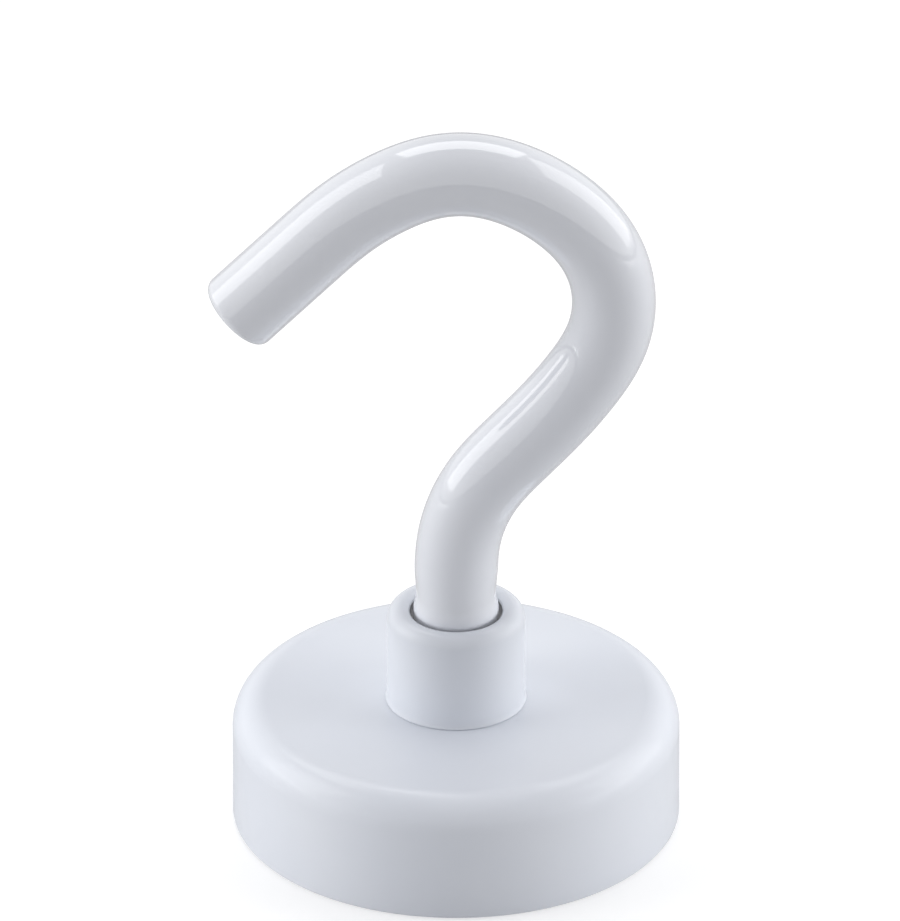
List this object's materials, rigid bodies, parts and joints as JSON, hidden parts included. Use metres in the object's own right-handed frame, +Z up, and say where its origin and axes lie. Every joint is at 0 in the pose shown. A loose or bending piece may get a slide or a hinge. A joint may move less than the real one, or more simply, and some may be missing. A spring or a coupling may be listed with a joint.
{
  "type": "magnetic hook",
  "caption": "Round pot magnet with a threaded centre bush and a screw-in open hook bent from coated round rod, for hanging light things on steel.",
  "frame": {"origin": "middle of the magnet's flat working face, on the hook's screw axis", "axes": "+Z up the hook's shank, away from the magnet face; the hook is bent in the XZ plane and opens towards -X; +Y runs through the hook's bow"},
  "size_m": [0.0262, 0.025, 0.0427],
  "materials": {
    "white_powder_coat": "satin white powder coat on steel",
    "nickel_plate": "bright nickel plate on sintered magnet",
    "clear_glue": "set clear epoxy, hidden",
    "potting_resin": "poured off-white resin",
    "bright_steel": "bright drawn steel with a cut thread",
    "gloss_white_dip": "glossy white dipped plastic"
  },
  "bodies": {
    "base": {"pot_shell": "white_powder_coat", "threaded_bush": "white_powder_coat", "magnet_disc": "nickel_plate", "magnet_glue": "clear_glue", "potting_ring": "potting_resin"},
    "shank": {"shank_coat": "gloss_white_dip"},
    "hook": {"hook_rod": "bright_steel", "hook_coat": "gloss_white_dip"}
  },
  "joints": [
    {"name": "hook_rise", "type": "slide", "parent": "base", "child": "shank", "axis": [0, 0, 1], "range_m": [0, 0.0049]},
    {"name": "hook_turn", "type": "hinge", "parent": "shank", "child": "hook", "pos_m": [0, 0, 0.013], "axis": [0, 0, 1], "range_deg": [0, 2520]}
  ],
  "couplings": [
    {"joint": "hook_rise", "follows": "hook_turn", "m_per_rad": 0.00011141}
  ]
}
